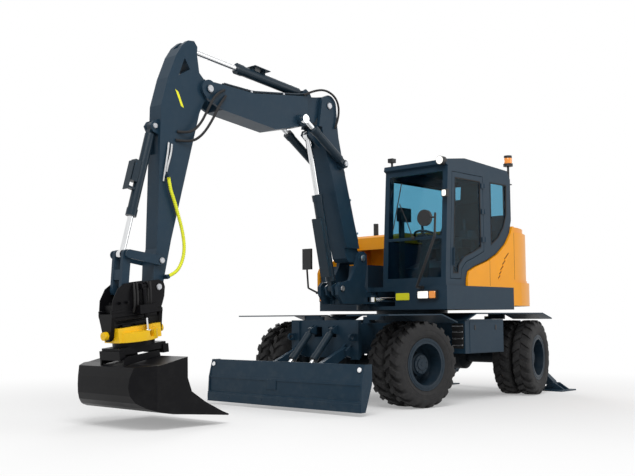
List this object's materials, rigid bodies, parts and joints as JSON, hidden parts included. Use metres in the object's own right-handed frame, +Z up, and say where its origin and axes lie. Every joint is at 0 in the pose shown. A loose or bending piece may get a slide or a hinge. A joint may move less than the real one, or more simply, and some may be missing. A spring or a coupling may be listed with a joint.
{
  "type": "wheeled excavator",
  "caption": "Wheeled excavator with a two-piece swing boom, tilting rotator and grading bucket, dozer blade, stabilisers and glazed cab.",
  "frame": {"origin": "middle of the ground under the whole machine", "axes": "+Z up, the machine's front faces -Y and its left (cab) side faces +X"},
  "size_m": [2.6492, 7.0192, 3.925],
  "materials": {
    "dark_paint": "satin dark blue-grey enamel",
    "axle_paint": "satin dark grey enamel",
    "rim_paint": "satin dark grey enamel",
    "tyre_rubber": "matt rubber",
    "yellow_paint": "gloss amber yellow enamel",
    "tool_yellow": "gloss yellow enamel",
    "tool_black": "satin black enamel",
    "rod_steel": "hard chromed steel",
    "cab_trim": "grained dark plastic and cloth",
    "cab_window": "tinted safety glass",
    "door_window": "tinted safety glass",
    "engine_iron": "cast iron",
    "black_plastic": "moulded black plastic",
    "hose_yellow": "yellow spiral hose guard"
  },
  "bodies": {
    "undercarriage": {"chassis_frame": "dark_paint", "axles": "axle_paint", "fenders_and_boxes": "dark_paint"},
    "blade": {"dozer_blade": "dark_paint"},
    "blade_barrels": {"blade_barrels": "dark_paint"},
    "blade_rods": {"blade_rods": "rod_steel"},
    "upper": {"platform": "dark_paint", "counterweight": "yellow_paint", "body_covers": "yellow_paint", "engine_block": "engine_iron", "cab_shell": "dark_paint", "cab_interior": "cab_trim", "cab_glass": "cab_window", "lamps_and_mirrors": "black_plastic"},
    "cab_door": {"cab_door": "dark_paint", "door_glass": "door_window"},
    "engine_hood": {"engine_hood": "yellow_paint"},
    "swing_post": {"swing_post": "dark_paint"},
    "tool": {"hitch": "tool_black", "bucket": "tool_black"},
    "swing_barrel": {"swing_barrel": "dark_paint"},
    "swing_rod": {"swing_rod": "rod_steel"},
    "boom_lower": {"boom_lower": "dark_paint"},
    "lift_barrel": {"lift_barrel": "dark_paint"},
    "lift_rod": {"lift_rod": "rod_steel"},
    "boom_upper": {"boom_upper": "dark_paint"},
    "adjust_barrels": {"adjust_barrels": "dark_paint"},
    "adjust_rods": {"adjust_rods": "rod_steel"},
    "arm": {"arm": "dark_paint", "tool_hose": "hose_yellow"},
    "arm_barrel": {"arm_barrel": "dark_paint"},
    "arm_rod": {"arm_rod": "rod_steel"},
    "rocker_arms": {"rocker_arms": "dark_paint"},
    "bucket_link": {"bucket_link": "tool_black"},
    "bucket_barrel": {"bucket_barrel": "dark_paint"},
    "bucket_rod": {"bucket_rod": "rod_steel"},
    "rotator_frame": {"rotator_frame": "tool_yellow"},
    "tilt_housing": {"tilt_housing": "tool_yellow"},
    "tilt_barrel_left": {"tilt_barrel_left": "tool_black"},
    "tilt_barrel_right": {"tilt_barrel_right": "tool_black"},
    "tilt_rod_left": {"tilt_rod_left": "rod_steel"},
    "tilt_rod_right": {"tilt_rod_right": "rod_steel"},
    "stabiliser_left": {"stabiliser_left": "dark_paint"},
    "stabiliser_right": {"stabiliser_right": "dark_paint"},
    "leg_barrel_left": {"leg_barrel_left": "dark_paint"},
    "leg_barrel_right": {"leg_barrel_right": "dark_paint"},
    "leg_rod_left": {"leg_rod_left": "rod_steel"},
    "leg_rod_right": {"leg_rod_right": "rod_steel"},
    "knuckle_front_left": {"knuckle_front_left": "axle_paint"},
    "wheel_front_left": {"wheel_front_left": "rim_paint", "tyres_front_left": "tyre_rubber"},
    "knuckle_front_right": {"knuckle_front_right": "axle_paint"},
    "wheel_front_right": {"wheel_front_right": "rim_paint", "tyres_front_right": "tyre_rubber"},
    "knuckle_rear_left": {"knuckle_rear_left": "axle_paint"},
    "wheel_rear_left": {"wheel_rear_left": "rim_paint", "tyres_rear_left": "tyre_rubber"},
    "knuckle_rear_right": {"knuckle_rear_right": "axle_paint"},
    "wheel_rear_right": {"wheel_rear_right": "rim_paint", "tyres_rear_right": "tyre_rubber"}
  },
  "joints": [
    {"name": "swing", "type": "hinge", "parent": "undercarriage", "child": "upper", "pos_m": [0, 1.30265, 1], "axis": [0, 0, 1], "continuous": true},
    {"name": "steer_front_left", "type": "hinge", "parent": "undercarriage", "child": "knuckle_front_left", "pos_m": [0.812, 0.06765, 0.4925], "axis": [0, 0, 1], "range_deg": [-22.1, 37.9]},
    {"name": "roll_front_left", "type": "hinge", "parent": "knuckle_front_left", "child": "wheel_front_left", "pos_m": [0.812, 0.06765, 0.4925], "axis": [0.9905, -0.1374, 0], "continuous": true},
    {"name": "steer_front_right", "type": "hinge", "parent": "undercarriage", "child": "knuckle_front_right", "pos_m": [-0.812, 0.06765, 0.4925], "axis": [0, 0, 1], "range_deg": [-22.6, 38.4]},
    {"name": "roll_front_right", "type": "hinge", "parent": "knuckle_front_right", "child": "wheel_front_right", "pos_m": [-0.812, 0.06765, 0.4925], "axis": [0.9905, -0.1374, 0], "continuous": true},
    {"name": "steer_rear_left", "type": "hinge", "parent": "undercarriage", "child": "knuckle_rear_left", "pos_m": [0.812, 2.41765, 0.4925], "axis": [0, 0, 1], "range_deg": [-43.1, 16.9]},
    {"name": "roll_rear_left", "type": "hinge", "parent": "knuckle_rear_left", "child": "wheel_rear_left", "pos_m": [0.812, 2.41765, 0.4925], "axis": [0.974, 0.2267, 0], "continuous": true},
    {"name": "steer_rear_right", "type": "hinge", "parent": "undercarriage", "child": "knuckle_rear_right", "pos_m": [-0.812, 2.41765, 0.4925], "axis": [0, 0, 1], "range_deg": [-43.6, 17.4]},
    {"name": "roll_rear_right", "type": "hinge", "parent": "knuckle_rear_right", "child": "wheel_rear_right", "pos_m": [-0.812, 2.41765, 0.4925], "axis": [0.974, 0.2267, 0], "continuous": true},
    {"name": "blade_lift", "type": "hinge", "parent": "undercarriage", "child": "blade", "pos_m": [0, -0.45735, 0.64], "axis": [-1, 0, 0], "range_deg": [-6, 25]},
    {"name": "blade_barrels_tilt", "type": "hinge", "parent": "undercarriage", "child": "blade_barrels", "pos_m": [0, -0.45735, 0.88], "axis": [-1, 0, 0], "range_deg": [-5.82, 21.08]},
    {"name": "blade_rods_slide", "type": "slide", "parent": "blade_barrels", "child": "blade_rods", "axis": [0, -0.7006, -0.7136], "range_m": [-0.08455, 0.02181]},
    {"name": "stabiliser_left", "type": "hinge", "parent": "undercarriage", "child": "stabiliser_left", "pos_m": [0.33, 3.30265, 0.62], "axis": [0, -1, 0], "range_deg": [0, 65]},
    {"name": "leg_barrel_left_tilt", "type": "hinge", "parent": "undercarriage", "child": "leg_barrel_left", "pos_m": [0.25, 3.30265, 0.94], "axis": [0, -1, 0], "range_deg": [-1, 42.26]},
    {"name": "leg_rod_left_slide", "type": "slide", "parent": "leg_barrel_left", "child": "leg_rod_left", "axis": [0.6167, 0, -0.7872], "range_m": [-0.23616, 0.002]},
    {"name": "stabiliser_right", "type": "hinge", "parent": "undercarriage", "child": "stabiliser_right", "pos_m": [-0.33, 3.30265, 0.62], "axis": [0, 1, 0], "range_deg": [0, 65]},
    {"name": "leg_barrel_right_tilt", "type": "hinge", "parent": "undercarriage", "child": "leg_barrel_right", "pos_m": [-0.25, 3.30265, 0.94], "axis": [0, 1, 0], "range_deg": [-1, 42.26]},
    {"name": "leg_rod_right_slide", "type": "slide", "parent": "leg_barrel_right", "child": "leg_rod_right", "axis": [-0.6167, 0, -0.7872], "range_m": [-0.23616, 0.002]},
    {"name": "boom_swing", "type": "hinge", "parent": "upper", "child": "swing_post", "pos_m": [0, 0.34265, 1.247], "axis": [0, 0, 1], "range_deg": [-60, 45]},
    {"name": "swing_barrel_turn", "type": "hinge", "parent": "upper", "child": "swing_barrel", "pos_m": [0.56, 1.09265, 1.247], "axis": [0, 0, 1], "range_deg": [-3.52, 2.89]},
    {"name": "swing_rod_slide", "type": "slide", "parent": "swing_barrel", "child": "swing_rod", "axis": [-0.3854, -0.9228, 0], "range_m": [-0.16372, 0.21763]},
    {"name": "boom_lift", "type": "hinge", "parent": "swing_post", "child": "boom_lower", "pos_m": [0, 0.10765, 1.755], "axis": [1, 0, 0], "range_deg": [-10, 55]},
    {"name": "lift_barrel_tilt", "type": "hinge", "parent": "swing_post", "child": "lift_barrel", "pos_m": [0, -0.27235, 1.375], "axis": [1, 0, 0], "range_deg": [-10.32, 52.29]},
    {"name": "lift_rod_slide", "type": "slide", "parent": "lift_barrel", "child": "lift_rod", "axis": [0, -0.2203, 0.9754], "range_m": [-0.49088, 0.09089]},
    {"name": "boom_knee", "type": "hinge", "parent": "boom_lower", "child": "boom_upper", "pos_m": [0, -0.46735, 3.56], "axis": [-1, 0, 0], "range_deg": [-4, 60]},
    {"name": "adjust_barrels_tilt", "type": "hinge", "parent": "boom_lower", "child": "adjust_barrels", "pos_m": [0, -0.27535, 2.869], "axis": [-1, 0, 0], "range_deg": [-2.52, 23.87]},
    {"name": "adjust_rods_slide", "type": "slide", "parent": "adjust_barrels", "child": "adjust_rods", "axis": [0, -0.8334, 0.5527], "range_m": [-0.02862, 0.40133]},
    {"name": "arm_pivot", "type": "hinge", "parent": "boom_upper", "child": "arm", "pos_m": [0, -2.31735, 3.44], "axis": [-1, 0, 0], "range_deg": [-20, 70]},
    {"name": "arm_barrel_tilt", "type": "hinge", "parent": "boom_upper", "child": "arm_barrel", "pos_m": [0, -0.77235, 3.668], "axis": [-1, 0, 0], "range_deg": [-1.65, 3.26]},
    {"name": "arm_rod_slide", "type": "slide", "parent": "arm_barrel", "child": "arm_rod", "axis": [0, -0.9943, 0.1064], "range_m": [-0.5348, 0.15423]},
    {"name": "tool_curl", "type": "hinge", "parent": "arm", "child": "rotator_frame", "pos_m": [0, -2.93735, 1.34], "axis": [-1, 0, 0], "range_deg": [-90, 40]},
    {"name": "rocker", "type": "hinge", "parent": "arm", "child": "rocker_arms", "pos_m": [0, -2.92235, 1.6], "axis": [-1, 0, 0], "range_deg": [-80.81, 36.47]},
    {"name": "link", "type": "hinge", "parent": "rocker_arms", "child": "bucket_link", "pos_m": [0, -3.30235, 1.65], "axis": [-1, 0, 0], "range_deg": [-22.75, 49.94]},
    {"name": "bucket_barrel_tilt", "type": "hinge", "parent": "arm", "child": "bucket_barrel", "pos_m": [0, -2.96235, 2.96], "axis": [-1, 0, 0], "range_deg": [-10.3, 5.14]},
    {"name": "bucket_rod_slide", "type": "slide", "parent": "bucket_barrel", "child": "bucket_rod", "axis": [0, -0.2512, -0.9679], "range_m": [-0.194, 0.43401]},
    {"name": "tool_tilt", "type": "hinge", "parent": "rotator_frame", "child": "tilt_housing", "pos_m": [0, -3.16235, 0.9], "axis": [0, 0.9925, 0.1219], "range_deg": [-40, 40]},
    {"name": "tilt_barrel_left_turn", "type": "hinge", "parent": "rotator_frame", "child": "tilt_barrel_left", "pos_m": [0.164, -3.15642, 1.34403], "axis": [0, 0.9925, 0.1219], "range_deg": [-1.79, 1.79]},
    {"name": "tilt_rod_left_slide", "type": "slide", "parent": "tilt_barrel_left", "child": "tilt_rod_left", "axis": [0.0023, 0.1219, -0.9925], "range_m": [-0.11114, 0.11114]},
    {"name": "tilt_barrel_right_turn", "type": "hinge", "parent": "rotator_frame", "child": "tilt_barrel_right", "pos_m": [-0.164, -3.15642, 1.34403], "axis": [0, 0.9925, 0.1219], "range_deg": [-1.79, 1.79]},
    {"name": "tilt_rod_right_slide", "type": "slide", "parent": "tilt_barrel_right", "child": "tilt_rod_right", "axis": [-0.0023, 0.1219, -0.9925], "range_m": [-0.11114, 0.11114]},
    {"name": "rotator", "type": "hinge", "parent": "tilt_housing", "child": "tool", "pos_m": [0, -3.16235, 0.9], "axis": [0, -0.1219, 0.9925], "continuous": true},
    {"name": "cab_door", "type": "hinge", "parent": "upper", "child": "cab_door", "pos_m": [1.216, 1.21865, 2], "axis": [0, 0, 1], "range_deg": [0, 150]},
    {"name": "engine_hood", "type": "hinge", "parent": "upper", "child": "engine_hood", "pos_m": [0, 2.02265, 2.21], "axis": [1, 0, 0], "range_deg": [0, 50]}
  ],
  "couplings": [
    {"joint": "steer_front_right", "follows": "steer_front_left", "ratio": 1},
    {"joint": "steer_rear_right", "follows": "steer_rear_left", "ratio": 1},
    {"joint": "blade_barrels_tilt", "follows": "blade_lift", "ratio": 0.80308},
    {"joint": "blade_rods_slide", "follows": "blade_lift", "m_per_rad": -0.1892},
    {"joint": "leg_barrel_left_tilt", "follows": "stabiliser_left", "ratio": 0.63469},
    {"joint": "leg_rod_left_slide", "follows": "stabiliser_left", "m_per_rad": -0.2064},
    {"joint": "leg_barrel_right_tilt", "follows": "stabiliser_right", "ratio": 0.63469},
    {"joint": "leg_rod_right_slide", "follows": "stabiliser_right", "m_per_rad": -0.2064},
    {"joint": "swing_barrel_turn", "follows": "boom_swing", "ratio": 0.04193},
    {"joint": "swing_rod_slide", "follows": "boom_swing", "m_per_rad": -0.20591},
    {"joint": "lift_barrel_tilt", "follows": "boom_lift", "ratio": 0.93249},
    {"joint": "lift_rod_slide", "follows": "boom_lift", "m_per_rad": -0.50929},
    {"joint": "adjust_barrels_tilt", "follows": "boom_knee", "ratio": 0.38123},
    {"joint": "adjust_rods_slide", "follows": "boom_knee", "m_per_rad": 0.38133},
    {"joint": "arm_barrel_tilt", "follows": "arm_pivot", "ratio": 0.03233},
    {"joint": "arm_rod_slide", "follows": "arm_pivot", "m_per_rad": -0.4361},
    {"joint": "rocker", "follows": "tool_curl", "ratio": 0.88679},
    {"joint": "link", "follows": "tool_curl", "ratio": -0.54381},
    {"joint": "bucket_barrel_tilt", "follows": "tool_curl", "ratio": 0.10339},
    {"joint": "bucket_rod_slide", "follows": "tool_curl", "m_per_rad": -0.27502},
    {"joint": "tilt_barrel_left_turn", "follows": "tool_tilt", "ratio": -0.01988},
    {"joint": "tilt_rod_left_slide", "follows": "tool_tilt", "m_per_rad": 0.15634},
    {"joint": "tilt_barrel_right_turn", "follows": "tool_tilt", "ratio": -0.01988},
    {"joint": "tilt_rod_right_slide", "follows": "tool_tilt", "m_per_rad": -0.15634}
  ]
}
